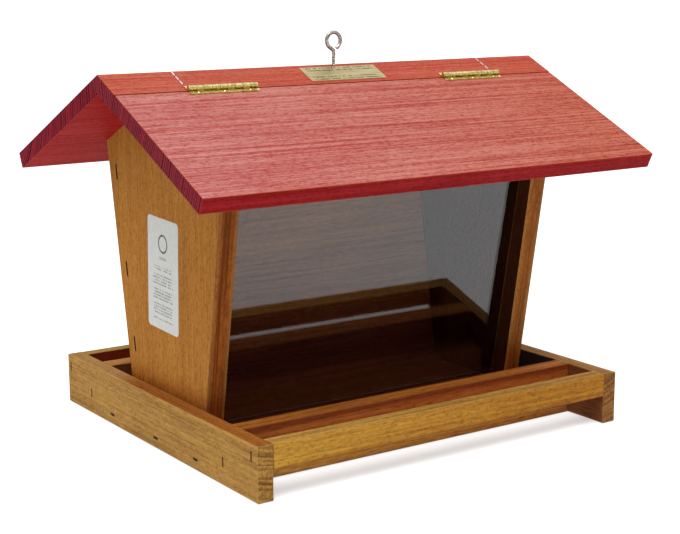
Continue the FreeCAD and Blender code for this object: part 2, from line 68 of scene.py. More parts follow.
def add_camera():
    """The camera of the reference view, held by its turn, its drop below level and its roll."""
    data = bpy.data.cameras.new("view_camera")
    data.lens = CAMERA_LENS
    data.sensor_width = 36.0
    data.clip_start = 0.01
    data.clip_end = 200.0
    camera = bpy.data.objects.new("view_camera", data)
    scene.collection.objects.link(camera)
    turn_sin, turn_cos = math.sin(CAMERA_TURN), math.cos(CAMERA_TURN)
    drop_sin, drop_cos = math.sin(CAMERA_DROP), math.cos(CAMERA_DROP)
    right = Vector((turn_cos, turn_sin, 0.0))
    back = Vector((turn_sin * drop_cos, -turn_cos * drop_cos, drop_sin))
    up = back.cross(right)
    roll_sin, roll_cos = math.sin(CAMERA_ROLL), math.cos(CAMERA_ROLL)
    rolled_right = right * roll_cos + up * roll_sin
    rolled_up = up * roll_cos - right * roll_sin
    turn = Matrix((rolled_right, rolled_up, back)).transposed().to_4x4()
    camera.matrix_world = Matrix.Translation(CAMERA_PLACE) @ turn
    scene.camera = camera


# ---------------------------------------------------------------------------------------------
# A short way to write node trees
# ---------------------------------------------------------------------------------------------
class Tree:
    """A node tree with one short call for each kind of node.  Every call returns a socket."""

    def __init__(self, tree):
        self.tree = tree

    def add(self, kind, inputs=(), **settings):
        node = self.tree.nodes.new(kind)
        for name, value in settings.items():
            setattr(node, name, value)
        for key, value in dict(inputs).items():
            self.feed(node.inputs[key], value)
        return node

    def feed(self, socket, value):
        if isinstance(value, bpy.types.NodeSocket):
            self.tree.links.new(value, socket)
        else:
            socket.default_value = value

    def math(self, operation, a, b=0.0, c=0.0, clamp=False):
        node = self.add("ShaderNodeMath", {0: a, 1: b, 2: c}, operation=operation)
        node.use_clamp = clamp
        return node.outputs[0]

    def vector(self, operation, a, b=(0.0, 0.0, 0.0)):
        node = self.add("ShaderNodeVectorMath", {0: a, 1: b}, operation=operation)
        return node.outputs["Value" if operation in ("DOT_PRODUCT", "LENGTH") else "Vector"]

    def split(self, vector):
        return self.add("ShaderNodeSeparateXYZ", {0: vector}).outputs

    def join(self, x=0.0, y=0.0, z=0.0):
        return self.add("ShaderNodeCombineXYZ", {0: x, 1: y, 2: z}).outputs[0]

    def noise(self, vector, scale=1.0, detail=2.0, roughness=0.5, distortion=0.0):
        node = self.add("ShaderNodeTexNoise", {"Vector": vector, "Scale": scale,
                                               "Detail": detail, "Roughness": roughness,
                                               "Distortion": distortion})
        return node.outputs[0]

    def step(self, value, low, high, to_low=0.0, to_high=1.0):
        """A smooth ramp of value from to_low to to_high between low and high."""
        node = self.add("ShaderNodeMapRange", {0: value, 1: low, 2: high, 3: to_low, 4: to_high},
                        interpolation_type="SMOOTHSTEP")
        return node.outputs[0]

    def line(self, value, low, high, to_low=0.0, to_high=1.0):
        node = self.add("ShaderNodeMapRange", {0: value, 1: low, 2: high, 3: to_low, 4: to_high})
        return node.outputs[0]

    def mix(self, share, a, b, blend="MIX"):
        node = self.add("ShaderNodeMix", data_type="RGBA", blend_type=blend)
        self.feed(node.inputs[0], share)
        self.feed(node.inputs[6], colour(a))
        self.feed(node.inputs[7], colour(b))
        return node.outputs[2]

    def blend(self, share, a, b):
        node = self.add("ShaderNodeMix", data_type="FLOAT")
        self.feed(node.inputs[0], share)
        self.feed(node.inputs[2], a)
        self.feed(node.inputs[3], b)
        return node.outputs[0]

    def bump(self, height, strength, distance, normal=None):
        node = self.add("ShaderNodeBump", {"Strength": strength, "Distance": distance,
                                           "Height": height})
        if normal is not None:
            self.feed(node.inputs["Normal"], normal)
        return node.outputs[0]


def colour(value):
    """A socket as it is, or three numbers with a full alpha."""
    if isinstance(value, (tuple, list)) and len(value) == 3:
        return (*value, 1.0)
    return value


def new_material(name, **plain):
    """A material with one Principled shader, and its tree.  plain sets the shader's own sockets."""
    material = bpy.data.materials.new(name)
    material.use_nodes = True
    shader = material.node_tree.nodes["Principled BSDF"]
    for key, value in plain.items():
        shader.inputs[key.replace("_", " ")].default_value = value
    return material, Tree(material.node_tree), shader


def dress(node_name, material):
    """Put a material on a CAD node."""
    for slot in nodes[node_name].material_slots:
        slot.material = material


# ---------------------------------------------------------------------------------------------
# Lights
# ---------------------------------------------------------------------------------------------
DOME_TOP = 1.36
DOME_LOW = 0.20
DOME_RISE = 0.75
BACKDROP = 1.0
KEY_STRENGTH = 2.0
KEY_SPREAD = 24.0
KEY_HEIGHT = 63.0
KEY_TURN = -42.0


def add_lights():
    """A white dome that lights most from overhead and looks plain white behind the floor, and one
    soft key from high on the front left."""
    world = bpy.data.worlds.new("studio")
    scene.world = world
    world.use_nodes = True
    t = Tree(world.node_tree)
    background = world.node_tree.nodes["Background"]
    background.inputs["Color"].default_value = (1.0, 1.0, 1.0, 1.0)
    rise = t.split(t.add("ShaderNodeTexCoord").outputs["Generated"])[2]
    dome = t.step(rise, 0.0, DOME_RISE, DOME_LOW, DOME_TOP)
    seen = t.add("ShaderNodeLightPath").outputs["Is Camera Ray"]
    t.feed(background.inputs["Strength"], t.blend(seen, dome, BACKDROP))
    data = bpy.data.lights.new("key_light", "SUN")
    data.energy = KEY_STRENGTH
    data.angle = math.radians(KEY_SPREAD)
    key = bpy.data.objects.new("key_light", data)
    key.rotation_euler = (math.radians(90.0 - KEY_HEIGHT), 0.0, math.radians(KEY_TURN))
    scene.collection.objects.link(key)


# ---------------------------------------------------------------------------------------------
# Wood: one node group works out the figure of a board from its own coordinates
# ---------------------------------------------------------------------------------------------
FIGURE_INPUTS = [("Place", "Vector"), ("Half", "Vector"), ("Seed", "Float"), ("Pith", "Vector"),
                 ("Pitch", "Float"), ("Reach", "Float")]
FIGURE_OUTPUTS = ["Rings", "Streaks", "Threads", "Veins", "Fibres", "Dashes", "Specks", "Lines",
                  "Clouds", "Smudges", "Wear", "Corner", "Pores"]

# Marks that are noise drawn out along the grain: its frequencies along, across and through the
# board, per metre, its detail and roughness, and the values where a mark starts and is full.
DRAWN_OUT = {
    "Streaks": ((5.0, 380.0, 380.0), 2.0, 0.6, 0.32, 0.68),
    "Fibres": ((110.0, 560.0, 560.0), 2.0, 0.6, 0.30, 0.70),
    "Dashes": ((120.0, 620.0, 620.0), 1.0, 0.5, 0.58, 0.72),
    "Specks": ((330.0, 760.0, 760.0), 1.0, 0.6, 0.48, 0.70),
    "Threads": ((2.6, 640.0, 640.0), 1.0, 0.5, 0.34, 0.68),
    "Veins": ((2.5, 45.0, 560.0), 1.0, 0.5, 0.42, 0.64),
    "Clouds": ((9.0, 26.0, 26.0), 3.0, 0.55, 0.30, 0.70),
    "Pores": ((200.0, 420.0, 420.0), 2.0, 0.6, 0.35, 0.70),
}
SEED_SHIFT = (3.17, 1.71, 2.39)
RING_BEND = 0.016
RING_RIPPLE = 0.0011
RING_UNEVEN = 2.2
EDGE_RIM = (0.0034, 0.0016)


def ring_figure(t, given, place):
    """Growth rings: the distance from the pith, bent a little along the board, in bands that
    darken slowly and end sharply."""
    away = t.vector("SUBTRACT", given["Place"], given["Pith"])
    bend = t.noise(t.vector("MULTIPLY", place, (2.2, 9.0, 9.0)), 1.0, 2.0)
    ripple = t.noise(t.vector("MULTIPLY", place, (14.0, 90.0, 90.0)), 1.0, 2.0)
    radius = t.vector("LENGTH", t.vector("MULTIPLY", away, (0.0, 1.0, 1.0)))
    radius = t.math("MULTIPLY_ADD", bend, RING_BEND, radius)
    radius = t.math("MULTIPLY_ADD", ripple, RING_RIPPLE, radius)
    uneven = t.noise(t.join(t.math("MULTIPLY", radius, 130.0), given["Seed"], 0.0), 1.0, 1.0)
    count = t.math("DIVIDE", radius, given["Pitch"])
    count = t.math("MULTIPLY_ADD", uneven, RING_UNEVEN, count)
    band = t.math("FRACT", count)
    late = t.math("MULTIPLY", t.step(band, 0.25, 0.86), t.step(band, 0.99, 0.9))
    strength = t.noise(t.join(t.math("FLOOR", count), t.math("MULTIPLY", given["Seed"], 7.3)),
                       0.83, 0.0)
    return t.math("MULTIPLY", late, t.step(strength, 0.25, 0.75, 0.25, 1.0))


def line_figure(t, place):
    """A few long dark lines, broken here and there: where a slow noise crosses its middle."""
    level = t.noise(t.vector("MULTIPLY", place, (0.9, 52.0, 52.0)), 1.0, 2.0, 0.45)
    crossing = t.math("ABSOLUTE", t.math("SUBTRACT", level, 0.5))
    breaks = t.noise(t.vector("MULTIPLY", place, (11.0, 60.0, 60.0)), 1.0, 1.0)
    return t.math("MULTIPLY", t.step(crossing, 0.024, 0.004), t.step(breaks, 0.38, 0.6))


def edge_figures(t, given, place):
    """Wear that comes in unevenly from the edges, and a narrow rim along the wide faces.

    The distance to the nearest edge is the middle one of the distances to the three pairs of
    faces."""
    deep = t.vector("SUBTRACT", given["Half"], t.vector("ABSOLUTE", given["Place"]))
    x, y, z = t.split(deep)
    lower = t.math("MINIMUM", x, y)
    upper = t.math("MINIMUM", t.math("MAXIMUM", x, y), z)
    edge = t.math("MAXIMUM", lower, upper)
    rough = t.noise(t.vector("MULTIPLY", place, (60.0, 420.0, 420.0)), 1.0, 3.0, 0.6)
    reach = t.math("MULTIPLY", t.line(rough, 0.3, 0.75, 0.1, 1.0), given["Reach"])
    wear = t.math("SUBTRACT", 1.0, t.math("DIVIDE", edge, reach), clamp=True)
    return wear, t.step(z, *EDGE_RIM)


def figure_group():
    """Everything that a board's surface shows, each kind of mark as one output from 0 to 1.

    Place is in metres from the middle of the board, with X along the grain, Y across the
    face and Z through the thickness.  Half is half the board's size.  Pith and Pitch are where
    the growth rings have their middle and how far apart they are.  Reach is how far the wear
    comes in from the edges.
    """
    group = bpy.data.node_groups.new("board_figure", "ShaderNodeTree")
    for name, kind in FIGURE_INPUTS:
        group.interface.new_socket(name, in_out="INPUT", socket_type="NodeSocket" + kind)
    for name in FIGURE_OUTPUTS:
        group.interface.new_socket(name, in_out="OUTPUT", socket_type="NodeSocketFloat")
    t = Tree(group)
    given = t.add("NodeGroupInput").outputs
    shown = t.add("NodeGroupOutput").inputs
    shift = t.vector("MULTIPLY", t.join(given["Seed"], given["Seed"], given["Seed"]), SEED_SHIFT)
    place = t.vector("ADD", given["Place"], shift)

    t.feed(shown["Rings"], ring_figure(t, given, place))
    for name, (stretch, detail, roughness, start, full) in DRAWN_OUT.items():
        drawn_out = t.noise(t.vector("MULTIPLY", place, stretch), 1.0, detail, roughness)
        t.feed(shown[name], t.step(drawn_out, start, full))
    t.feed(shown["Lines"], line_figure(t, place))
    smudges = t.noise(t.vector("MULTIPLY", place, (17.0, 48.0, 48.0)), 1.3, 3.0, 0.6, 0.6)
    t.feed(shown["Smudges"], t.step(smudges, 0.56, 0.74))
    wear, rim = edge_figures(t, given, place)
    t.feed(shown["Wear"], wear)
    t.feed(shown["Corner"], rim)
    return group


FIGURE = figure_group()


def board_frame(node_name, axes):
    """The middle, turn and half sizes of a board in its own axes, given as the grain, face and
    thickness directions."""
    turn = Matrix(axes).transposed()
    inverse = turn.transposed()
    corners = [inverse @ vertex.co for vertex in nodes[node_name].data.vertices]
    low = Vector([min(c[i] for c in corners) for i in range(3)])
    high = Vector([max(c[i] for c in corners) for i in range(3)])
    return turn @ ((low + high) / 2), turn.to_euler(), (high - low) / 2


X_WAY, Y_WAY, Z_WAY = Vector((1, 0, 0)), Vector((0, 1, 0)), Vector((0, 0, 1))


def slope_axes(angle):
    """Grain along X, face along a slope about X, and thickness square to it."""
    turn = Matrix.Rotation(angle, 3, "X")
    return X_WAY, turn @ Y_WAY, turn @ Z_WAY


ALONG_Y = (Y_WAY, Z_WAY, X_WAY)
ALONG_X = (X_WAY, Z_WAY, -Y_WAY)
LYING = (X_WAY, Y_WAY, Z_WAY)
UPRIGHT = (Z_WAY, Y_WAY, -X_WAY)


def figured_board(name, node_name, axes, seed, pith, pitch, reach, **plain):
    """A wood material for one node with its figure worked out: the tree, the shader, the
    figure's outputs, and the cosines between the surface and the grain, face and thickness
    ways."""
    material, t, shader = new_material(name, **plain)
    middle, turn, half = board_frame(node_name, axes)
    coords = t.add("ShaderNodeTexCoord").outputs
    local = t.add("ShaderNodeMapping", {"Vector": coords["Object"], "Location": middle,
                                        "Rotation": turn}, vector_type="TEXTURE")
    facing = [t.vector("DOT_PRODUCT", coords["Normal"], tuple(axis)) for axis in axes]
    figure = t.add("ShaderNodeGroup", node_tree=FIGURE)
    given = {"Place": local.outputs[0], "Half": half, "Seed": seed, "Pith": (0.0, *pith),
             "Pitch": pitch, "Reach": reach}
    for key, value in given.items():
        t.feed(figure.inputs[key], value)
    dress(node_name, material)
    return t, shader, figure.outputs, facing


FACE_LOW = 0.55
FACE_HIGH = 0.80


def faces(t, cosine):
    """How far a surface counts as one that faces a way, from the cosine between them."""
    return t.step(cosine, FACE_LOW, FACE_HIGH)


def grain_depth(t, f, **shares):
    """How deep the stain is, from a share of each kind of figure."""
    depth = 0.0
    for kind, share in shares.items():
        depth = t.math("MULTIPLY_ADD", f[kind], share, depth)
    return t.math("MINIMUM", depth, 1.0)


def tinted(t, share, shade, tint):
    """A shade multiplied by a tint, over a share of the surface."""
    return t.mix(share, shade, t.mix(1.0, shade, tint, "MULTIPLY"))


def tinted_by_height(t, shade, z, band, share=1.0):
    """A shade tinted fully at one height and beyond it, and not at all from another height on.
    band is those two heights and the tint."""
    full, none, tint = band
    return tinted(t, t.math("MULTIPLY", t.step(z, none, full), share), shade, tint)


GRAIN_RELIEF = 0.00012


def wood_relief(t, shader, f, end, strength):
    """Raised grain, sunk dashes and, on sawn ends, pores."""
    height = t.math("MULTIPLY_ADD", f["Dashes"], -0.6, f["Fibres"])
    height = t.math("MULTIPLY_ADD", f["Rings"], 0.5, height)
    height = t.math("MULTIPLY_ADD", t.math("MULTIPLY", f["Pores"], end), -1.2, height)
    t.feed(shader.inputs["Normal"], t.bump(height, strength, GRAIN_RELIEF))


# ---------------------------------------------------------------------------------------------
# Staples: the wood is crushed and stained round each crown
# ---------------------------------------------------------------------------------------------
STAPLE_APART = 0.014
STAPLE_BRUISE = 0.0005
BRUISE = (0.018, 0.007, 0.003)


def staple_spots(node_name):
    """The place and half size, along Y and Z, of each staple in a node of them."""
    groups = []
    for vertex in nodes[node_name].data.vertices:
        near = [g for g in groups if (g[0].yz - vertex.co.yz).length < STAPLE_APART]
        if near:
            near[0].append(vertex.co)
        else:
            groups.append([vertex.co])
    spots = []
    for group in groups:
        across = [point.y for point in group]
        upward = [point.z for point in group]
        spots.append(((min(across) + max(across)) / 2, (min(upward) + max(upward)) / 2,
                      (max(across) - min(across)) / 2, (max(upward) - min(upward)) / 2))
    return spots


def staple_marks(t, y, z, node_name, lean):
    """Where the wood is bruised round the staples of a node, along crowns that lean."""
    marked = 0.0
    for spot_y, spot_z, half_y, half_z in staple_spots(node_name):
        up = t.math("SUBTRACT", z, spot_z)
        out = t.math("SUBTRACT", t.math("SUBTRACT", y, spot_y),
                     t.math("MULTIPLY", up, math.tan(lean)))
        half_out = half_y - half_z * math.tan(lean) + STAPLE_BRUISE
        far_out = t.math("DIVIDE", t.math("ABSOLUTE", out), half_out)
        far_up = t.math("DIVIDE", t.math("ABSOLUTE", up), half_z + STAPLE_BRUISE)
        marked = t.math("MAXIMUM", t.step(t.math("MAXIMUM", far_out, far_up), 1.1, 0.8), marked)
    return marked


# ---------------------------------------------------------------------------------------------
# Golden brown stain
# ---------------------------------------------------------------------------------------------
DARK_STAIN = (0.055, 0.014, 0.003)
GREY_SMUDGE = (0.15, 0.080, 0.030)
WORN_GOLD = (0.42, 0.265, 0.085)
SAWN_GOLD = ((0.36, 0.195, 0.044), (0.15, 0.066, 0.015))
NO_TINT = (1.0, 1.0, 1.0)
NEAR_END = 0.03
FAR_END = 0.08
DRIFT_START = -0.17
DRIFT_FULL = 0.06
DRIFT_ON_EDGES = 0.4
BLUR = 0.001


def golden_marks(t, shade, f, veined, dashes, specks, lines, smudges):
    """Dark dashes, specks and lines in the stain, and grey smudges on it.  Dashes and specks are
    weaker where the surface is veined."""
    marks = t.math("MAXIMUM", t.math("MULTIPLY", f["Dashes"], dashes),
                   t.math("MULTIPLY", f["Specks"], specks))
    marks = t.math("MULTIPLY", marks, t.line(veined, 0.0, 0.2, 1.0, 0.4))
    shade = t.mix(marks, shade, DARK_STAIN)
    shade = t.mix(t.math("MULTIPLY", f["Lines"], lines), shade, DARK_STAIN)
    return t.mix(t.math("MULTIPLY", f["Smudges"], smudges), shade, GREY_SMUDGE)


def golden_wood(node_name, axes, seed, pith, pitch, tones, edge_tint, far_tint=None,
                inner_side=0.0, inner_shade_and_light=NO_TINT, rings=0.3, streaks=0.38, clouds=0.26,
                dashes=0.4, specks=0.0, lines=0.5, smudges=0.3, veins=0.0, corner=0.0,
                wear=0.5, worn=WORN_GOLD, wear_from=None, reach=0.0021, drift=None, height_tint=None,
                brow=None, inner_height_shade=None, tray_shade=None, sawn_tones=SAWN_GOLD, staples=None,
                staple_lean=0.0):
    """Bare softwood under a golden brown stain.

    tones are its pale and deep stain colours.  edge_tint and far_tint tint them on the narrow edges
    of the board, at its front end and at its rear end; on the left side board the front tint is
    painted shade from the end wall.  inner_shade_and_light paints shade on the wide face that looks
    inward, on the side that inner_side names, and on the back board it paints light there instead.
    rings to veins say how strong each kind of figure is, and corner how pale the rims of the edges
    are.  wear and worn are the strength and colour of the wear, which stays further from the middle
    than wear_from.  drift is a tint that grows along X.  height_tint tints every face by height,
    and on the end walls it is painted shade at the foot.  brow tints only the outer face by height.
    inner_height_shade paints shade on the inner face, darker towards the bottom.  tray_shade is
    painted shade on the inner face and how far it goes from the middle.
    """
    t, shader, f, facing = figured_board("stained_" + node_name, node_name, axes, seed, pith,
                                         pitch, reach, Specular_IOR_Level=0.05)
    x, y, z = t.split(t.add("ShaderNodeTexCoord").outputs["Object"])
    from_middle = t.math("ABSOLUTE", y)
    end = faces(t, t.math("ABSOLUTE", facing[0]))
    edge = faces(t, t.math("ABSOLUTE", facing[1]))
    inner = faces(t, t.math("MULTIPLY", facing[2], inner_side))
    depth = grain_depth(t, f, Rings=rings, Streaks=streaks, Clouds=clouds, Fibres=0.30)
    shade = t.mix(depth, *tones)
    # on the left side board the front edge tint is painted shade from the end wall
    along_edge = t.mix(t.step(y, NEAR_END, FAR_END), edge_tint, far_tint or edge_tint)
    shade = tinted(t, edge, shade, along_edge)
    # the face that looks inward gets painted shade, and on the back board painted light
    shade = tinted(t, inner, shade, inner_shade_and_light)
    veined = t.math("MULTIPLY", t.math("MULTIPLY", f["Veins"], veins), edge)
    shade = t.mix(veined, shade, DARK_STAIN)
    rim = t.math("MULTIPLY", t.math("MULTIPLY", f["Corner"], corner), edge)
    shade = t.mix(rim, shade, WORN_GOLD)
    shade = golden_marks(t, shade, f, veined, dashes, specks, lines, smudges)
    if drift:
        on_edges = t.line(edge, 0.0, 1.0, 1.0, DRIFT_ON_EDGES)
        right_end = t.math("MULTIPLY", t.line(x, DRIFT_START, DRIFT_FULL), on_edges)
        shade = tinted(t, right_end, shade, drift)
    # tint by height; on the end walls this is painted shade at the foot
    if height_tint:
        shade = tinted_by_height(t, shade, z, height_tint)
    # painted shade on the inner face, darker towards the bottom
    if inner_height_shade:
        shade = tinted_by_height(t, shade, z, inner_height_shade, inner)
    if brow:
        outer = t.math("SUBTRACT", 1.0, t.math("MAXIMUM", inner, edge))
        shade = tinted_by_height(t, shade, z, brow, outer)
    # painted shade on the inner faces inside the tray, between the inner rails
    if tray_shade:
        limit, tray_shade_tint = tray_shade
        shielded = t.step(from_middle, limit + BLUR, limit - BLUR)
        shade = tinted(t, t.math("MULTIPLY", shielded, inner), shade, tray_shade_tint)
    rubbed = t.math("MULTIPLY", f["Wear"], wear)
    if wear_from:
        outside = t.step(from_middle, wear_from - BLUR, wear_from + BLUR)
        rubbed = t.math("MULTIPLY", rubbed, outside)
    shade = t.mix(rubbed, shade, worn)
    if staples:
        shade = t.mix(staple_marks(t, y, z, staples, staple_lean), shade, BRUISE)
    sawn = t.mix(t.math("MULTIPLY_ADD", f["Clouds"], 0.35, f["Rings"], clamp=True), *sawn_tones)
    sawn = t.mix(t.math("MULTIPLY", f["Pores"], 0.5), sawn, DARK_STAIN)
    t.feed(shader.inputs["Base Color"], t.mix(end, shade, sawn))
    t.feed(shader.inputs["Roughness"], t.line(f["Fibres"], 0.0, 1.0, 0.55, 0.74))
    wood_relief(t, shader, f, end, 0.45)


# ---------------------------------------------------------------------------------------------
# Red stain
# ---------------------------------------------------------------------------------------------
DEEP_LINE = (0.17, 0.006, 0.008)
DEEP_PORE = (0.05, 0.003, 0.008)
WORN_RED = (0.42, 0.10, 0.03)
SAWN_RED = ((0.23, 0.010, 0.018), (0.020, 0.001, 0.008))
# the deep red of the faces that don't look up; the paler tops carry painted sheen
DEEP_EDGE_RED = ((0.36, 0.022, 0.018), (0.24, 0.008, 0.007))
EAVE_TINT = (0.72, 0.50, 0.72)
ROOF_END = 0.2


def red_wood(node_name, axes, seed, pith, pitch, tones, rings=0.16, lines=0.5, reach=0.0016,
             gloss=0.04):
    """Softwood under a red stain, pale pink on the faces that look up and deep red everywhere else;
    the pink is partly weathering and partly painted sheen.  tones are the pale and deep colours of
    the faces that look up, at the roof's left end and at its right end."""
    t, shader, f, facing = figured_board("red_" + node_name, node_name, axes, seed, pith, pitch,
                                         reach, Specular_IOR_Level=gloss)
    end = faces(t, t.math("ABSOLUTE", facing[0]))
    edge = faces(t, t.math("ABSOLUTE", facing[1]))
    top = faces(t, facing[2])
    depth = grain_depth(t, f, Rings=rings, Streaks=0.24, Threads=0.26, Clouds=0.14, Fibres=0.20,
                        Specks=0.30)
    depth = t.line(depth, 0.22, 0.80)
    x = t.split(t.add("ShaderNodeTexCoord").outputs["Object"])[0]
    along = t.line(x, -ROOF_END, ROOF_END)
    left_pale, left_deep, right_pale, right_deep = tones
    pale = t.mix(along, left_pale, right_pale)
    deep = t.mix(along, left_deep, right_deep)
    deep_sides = tinted(t, edge, t.mix(depth, *DEEP_EDGE_RED), EAVE_TINT)
    # the faces that look up are paler pink, partly weathering and partly painted sheen
    shade = t.mix(top, deep_sides, t.mix(depth, pale, deep))
    shade = t.mix(t.math("MULTIPLY", f["Dashes"], 0.3), shade, DEEP_LINE)
    shade = t.mix(t.math("MULTIPLY", f["Lines"], lines), shade, DEEP_LINE)
    worn = t.math("MULTIPLY", f["Wear"], t.line(top, 0.0, 1.0, 0.25, 0.6))
    shade = t.mix(worn, shade, WORN_RED)
    sawn = t.mix(t.math("MULTIPLY", f["Rings"], 1.7, clamp=True), *SAWN_RED)
    sawn = t.mix(t.math("MULTIPLY", f["Pores"], 0.4), sawn, DEEP_PORE)
    t.feed(shader.inputs["Base Color"], t.mix(end, shade, sawn))
    t.feed(shader.inputs["Roughness"], t.line(depth, 0.0, 1.0, 0.5, 0.64))
    wood_relief(t, shader, f, end, 0.5)


# ---------------------------------------------------------------------------------------------
# The boards, each with its own grain and its own share of stain, light, dirt and wear
# ---------------------------------------------------------------------------------------------
TRAY_TONES = ((0.42, 0.235, 0.060), (0.23, 0.108, 0.020))
PERCH_TONES = ((0.536, 0.315, 0.050), (0.31, 0.142, 0.0172))
RAIL_TONES = ((0.38, 0.125, 0.022), (0.20, 0.042, 0.007))
FLOOR_TONES = ((0.24, 0.066, 0.018), (0.12, 0.026, 0.007))
WALL_TONES = ((0.44, 0.190, 0.028), (0.215, 0.070, 0.009))
LID_TONES = ((0.405, 0.168, 0.150), (0.280, 0.045, 0.038),
             (0.362, 0.108, 0.068), (0.243, 0.026, 0.0155))
STRIP_TONES = ((0.365, 0.088, 0.052), (0.275, 0.030, 0.017),
               (0.365, 0.084, 0.047), (0.275, 0.028, 0.015))
SAWN_BROWN = ((0.245, 0.115, 0.030), (0.115, 0.042, 0.012))
SOILED = (0.15, 0.055, 0.018)
# a darker colour that the front inner rail takes near the edges of its front half, bevels included
RAIL_EDGE_DARK = (0.080, 0.018, 0.005)

# tints of the narrow edges; the first one is painted shade from the end wall on the left side
# board's top, from its front to past its middle
LEFT_TOP_SHADE = (0.74, 0.46, 0.33)
GOLD_TOP = (0.92, 0.92, 1.10)
RIGHT_TOP = (0.79, 0.71, 0.90)
PERCH_TOP = (0.82, 0.86, 1.22)
RAIL_TOP = (0.95, 1.12, 0.95)
REAR_RAIL_TOP = (1.15, 1.75, 2.40)
FLOOR_EDGE = (0.70, 0.58, 0.62)
LEFT_FRONT = (0.76, 0.49, 0.50)
RIGHT_FRONT = (0.84, 0.68, 0.80)

# painted shade on the faces that look inward, and in the last one painted light on the back board's
# inner face
SHADED_TRAY = (0.40, 0.24, 0.34)
SHADED_PERCH = (0.36, 0.09, 0.18)
SHADED_RAIL = (0.37, 0.33, 0.64)
SHADED_WALL = (0.14, 0.09, 0.22)
LIT_BACK = (1.25, 1.17, 1.30)

# tints that grow along X
PERCH_DRIFT = (0.735, 0.57, 0.47)
RAIL_DRIFT = (0.84, 0.68, 0.56)

# tints by height: where they are full, where they end, and the tint.
# The end walls' one is painted shade at their foot, and the back board's one painted shade low on
# its inner face.
RAIL_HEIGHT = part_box("front_inner_rail")[1].z
WALL_FOOT_SHADE = (0.038, 0.058, (0.86, 0.60, 0.52))
BACK_LOW_SHADE = (0.040, 0.150, (0.30, 0.16, 0.50))
RAIL_FOOT = (0.012, 0.024, (1.18, 1.95, 2.2))
RAIL_BROW = (RAIL_HEIGHT - 0.002, RAIL_HEIGHT - 0.007, (0.62, 0.42, 0.48))

# how far from the middle of the tray the painted shade on the side boards' inner faces goes, and
# where the rails' outer halves start
TRAY_INNER_SHADE = (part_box("rear_inner_rail")[0].y, (0.20, 0.28, 0.90))
PERCH_MIDDLE = sum(corner.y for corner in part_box("rear_perch_rail")) / 2
RAIL_MIDDLE = sum(corner.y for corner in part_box("rear_inner_rail")) / 2

SIDE_FIGURE = {"rings": 0.24, "dashes": 0.22, "specks": 0.32, "lines": 0.3, "smudges": 0.2}
PERCH_FIGURE = {"dashes": 0.2, "specks": 0.35, "lines": 0.25}
WALL_FIGURE = {"rings": 0.10, "streaks": 0.30, "clouds": 0.14, "dashes": 0.15, "specks": 0.42,
               "lines": 0.12, "smudges": 0.10}
BACK_FIGURE = {"rings": 0.2, "dashes": 0.15, "specks": 0.3, "lines": 0.2}


def dress_tray():
    golden_wood("left_side_board", ALONG_Y, 1.3, (0.09, 0.015), 0.0042, TRAY_TONES, LEFT_TOP_SHADE,
                GOLD_TOP, 1.0, SHADED_TRAY, tray_shade=TRAY_INNER_SHADE, staples="left_board_staples",
                **SIDE_FIGURE)
    golden_wood("right_side_board", ALONG_Y, 2.6, (0.07, -0.03), 0.0042, TRAY_TONES, RIGHT_TOP,
                RIGHT_TOP, -1.0, SHADED_TRAY, tray_shade=TRAY_INNER_SHADE, staples="right_board_staples",
                sawn_tones=SAWN_BROWN, **SIDE_FIGURE)
    for name, seed, side in (("front_perch_rail", 3.4, -1.0), ("rear_perch_rail", 4.8, 1.0)):
        golden_wood(name, ALONG_X, seed, (-0.05 * side, 0.04), 0.0036, PERCH_TONES, PERCH_TOP,
                    None, side, SHADED_PERCH, wear=0.55, worn=SOILED, wear_from=PERCH_MIDDLE,
                    reach=0.0022, drift=PERCH_DRIFT, **PERCH_FIGURE)
    golden_wood("front_inner_rail", ALONG_X, 5.1, (0.08, -0.02), 0.0036, RAIL_TONES, RAIL_TOP,
                None, -1.0, SHADED_RAIL, wear=0.65, worn=RAIL_EDGE_DARK, wear_from=RAIL_MIDDLE,
                reach=0.006, drift=RAIL_DRIFT, height_tint=RAIL_FOOT, brow=RAIL_BROW)
    golden_wood("rear_inner_rail", ALONG_X, 6.7, (0.08, 0.02), 0.0036, RAIL_TONES,
                REAR_RAIL_TOP, None, 1.0, SHADED_RAIL, height_tint=RAIL_FOOT)
    golden_wood("floor_board", LYING, 7.2, (0.03, -0.06), 0.0040, FLOOR_TONES, FLOOR_EDGE,
                wear=0.0)


def dress_hopper():
    for name, seed, side, front, veins in (("left", 8.9, -1.0, LEFT_FRONT, 0.62),
                                           ("right", 9.4, 1.0, RIGHT_FRONT, 0.45)):
        golden_wood(name + "_end_wall", UPRIGHT, seed, (-0.15 * side, 0.06 * side), 0.0030,
                    WALL_TONES, front, front, side, SHADED_WALL, wear=0.0, veins=veins,
                    corner=0.25, height_tint=WALL_FOOT_SHADE, staples=name + "_wall_staples",
                    staple_lean=LEAN, **WALL_FIGURE)
    golden_wood("back_board", slope_axes(math.pi / 2 - LEAN), 10.5, (0.1, 0.08), 0.0040,
                WALL_TONES, LEFT_FRONT, None, 1.0, LIT_BACK, wear=0.0, inner_height_shade=BACK_LOW_SHADE,
                **BACK_FIGURE)


def dress_roof():
    red_wood("roof_lid", slope_axes(PITCH), 11.2, (0.14, 0.0), 0.0026, LID_TONES, reach=0.0024)
    red_wood("ridge_strip", slope_axes(PITCH), 12.7, (-0.05, 0.03), 0.0030, STRIP_TONES,
             lines=0.25)
    red_wood("rear_roof_panel", slope_axes(-PITCH), 13.6, (0.11, 0.07), 0.0030, LID_TONES,
             gloss=0.016)


# ---------------------------------------------------------------------------------------------
# Eased edges of the boards
# ---------------------------------------------------------------------------------------------
BOARD_EASE = 0.0007
RAIL_EASE = 0.0010
PERCH_EASE = 0.0014
SAME_PLACE = 0.00005
WELD_DISTANCE = 0.00001


